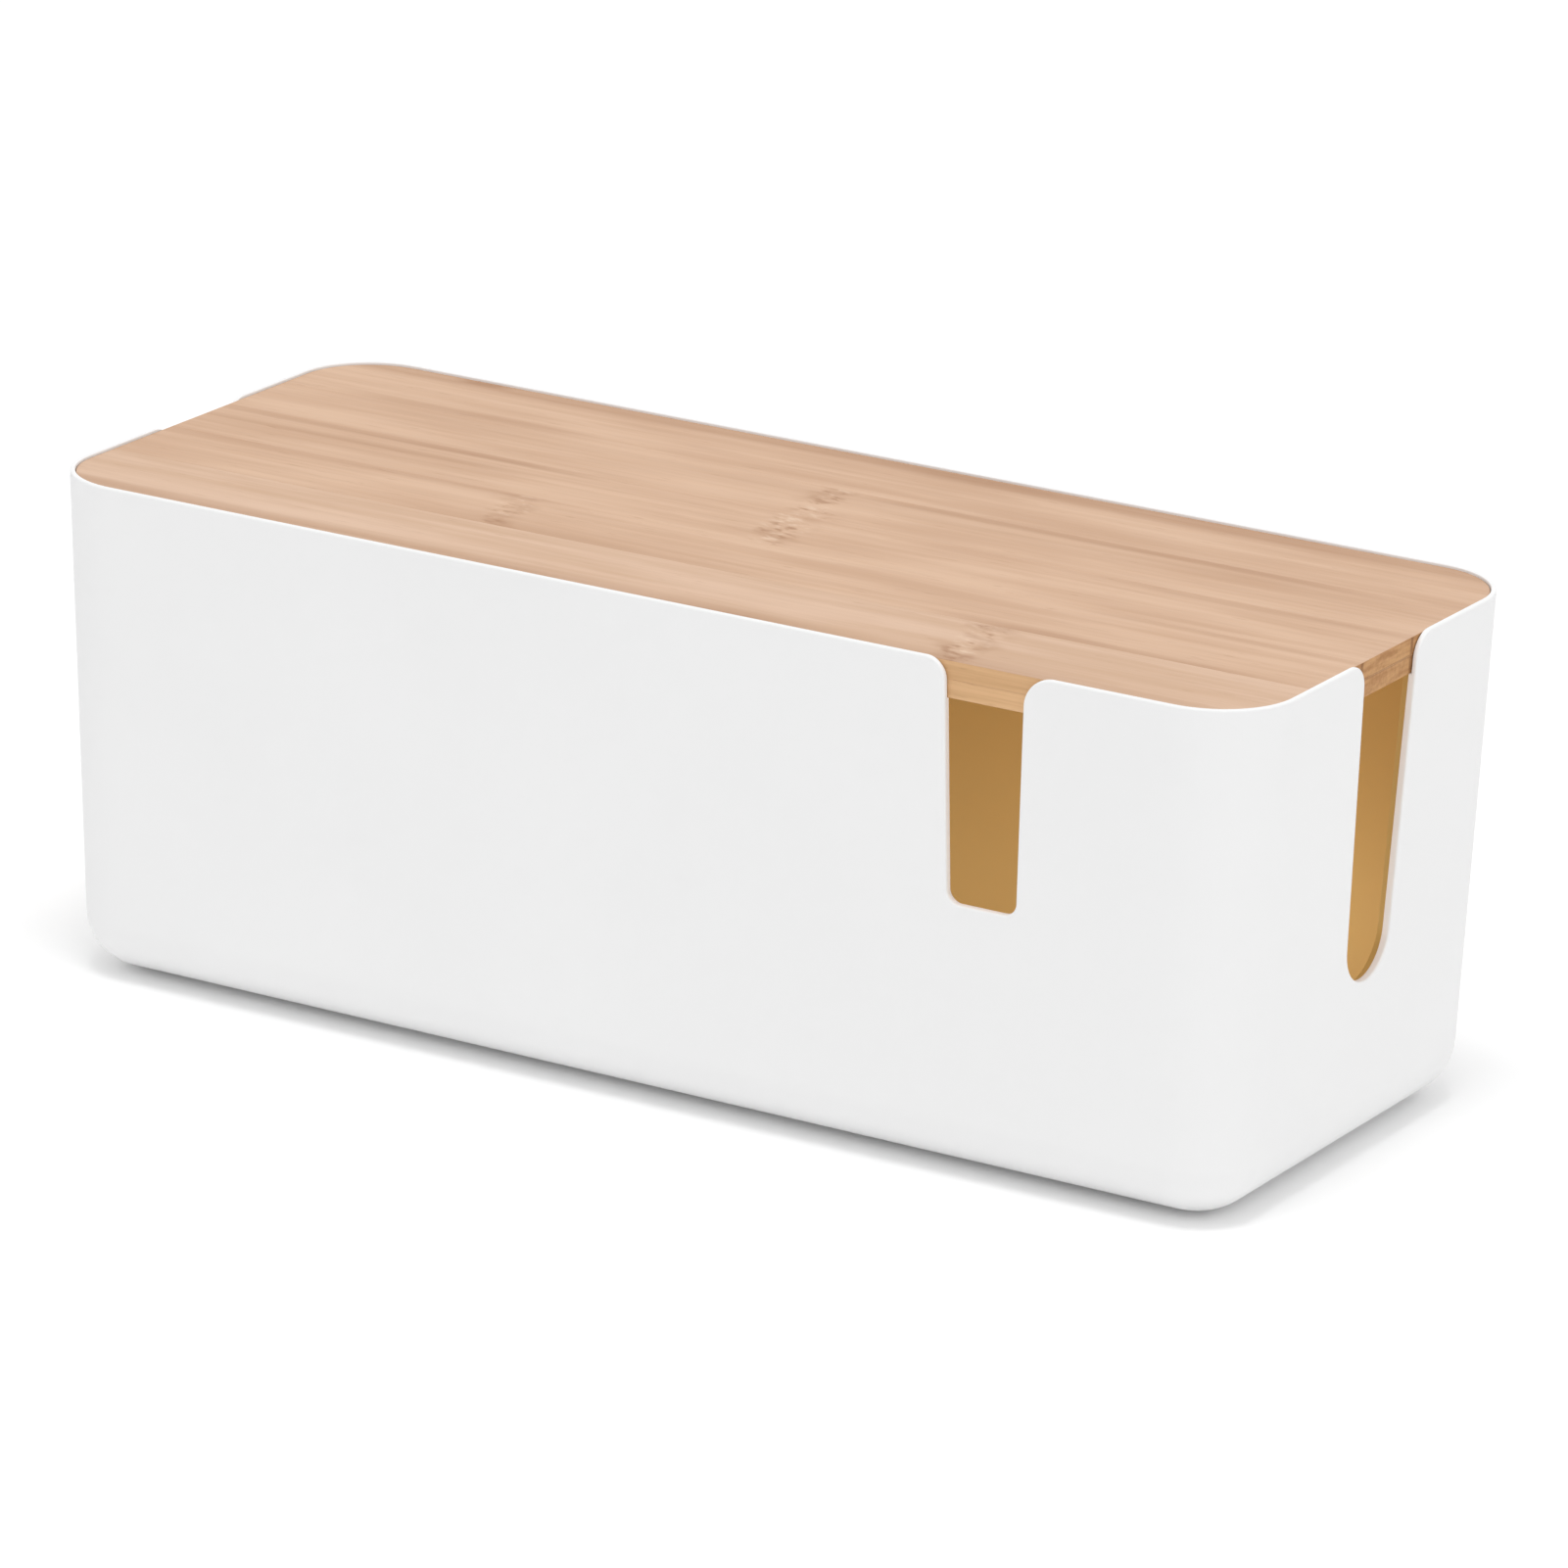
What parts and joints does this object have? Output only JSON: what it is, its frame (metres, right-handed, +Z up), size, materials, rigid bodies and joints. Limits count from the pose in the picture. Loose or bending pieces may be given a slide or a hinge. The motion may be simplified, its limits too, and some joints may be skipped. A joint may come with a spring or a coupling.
{
  "type": "cable management box",
  "caption": "Long white box with a lift-off bamboo lid and cable slots in its front and both ends, to hide a power strip and its leads.",
  "frame": {"origin": "on the standing surface, below the middle of the box", "axes": "+Z up, +X along the length towards the end that the front slot is near, and -Y out of the front"},
  "size_m": [0.344, 0.14, 0.1312],
  "materials": {
    "white_plastic": "satin moulded white with a fine even texture",
    "ochre_plastic": "matte moulded ochre",
    "bamboo_face": "clear matte lacquer on light flat-pressed bamboo",
    "bamboo_under": "clear matte lacquer on bamboo, a little darker",
    "rubber": "matte"
  },
  "bodies": {
    "box": {"shell": "white_plastic", "liner": "ochre_plastic", "foot_front_left": "rubber", "foot_front_right": "rubber", "foot_back_left": "rubber", "foot_back_right": "rubber"},
    "lid": {"lid_top_strip_1": "bamboo_face", "lid_top_strip_2": "bamboo_face", "lid_top_strip_3": "bamboo_face", "lid_top_strip_4": "bamboo_face", "lid_top_strip_5": "bamboo_face", "lid_under_strip_1": "bamboo_under", "lid_under_strip_2": "bamboo_under", "lid_under_strip_3": "bamboo_under", "lid_under_strip_4": "bamboo_under", "lid_under_strip_5": "bamboo_under"}
  },
  "joints": [
    {"name": "lid_lift", "type": "slide", "parent": "box", "child": "lid", "axis": [0, 0, 1], "range_m": [0, 0.12]}
  ]
}
